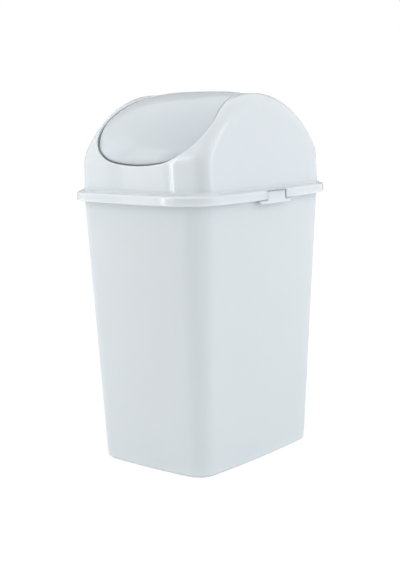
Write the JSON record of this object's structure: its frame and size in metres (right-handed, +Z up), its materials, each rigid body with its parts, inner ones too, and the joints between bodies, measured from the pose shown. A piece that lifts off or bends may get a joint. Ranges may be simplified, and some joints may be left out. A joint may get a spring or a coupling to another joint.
{
  "type": "countertop trash can",
  "caption": "Small tapered waste bin for a countertop, with a domed lift-off lid and a swing flap that tips either way and hangs shut by its own weight.",
  "frame": {"origin": "middle of the base, on the surface the can stands on", "axes": "+Z up, +Y to the back, +X to the right seen from the front; the flap's pivot runs along X"},
  "size_m": [0.155, 0.193, 0.3066],
  "materials": {
    "bin_plastic": "fine matt texture, white with a faint blue cast",
    "lid_plastic": "glossy moulded white",
    "flap_plastic": "glossy moulded white, slightly greyer than the lid"
  },
  "bodies": {
    "bin": {"bin_body": "bin_plastic"},
    "lid": {"lid_hood": "lid_plastic"},
    "flap": {"swing_flap": "flap_plastic"}
  },
  "joints": [
    {"name": "lid_lift", "type": "slide", "parent": "bin", "child": "lid", "axis": [0, 0, 1], "range_m": [0, 0.12]},
    {"name": "flap_swing", "type": "hinge", "parent": "lid", "child": "flap", "pos_m": [0, 0, 0.291], "axis": [1, 0, 0], "range_deg": [-80, 80]}
  ]
}
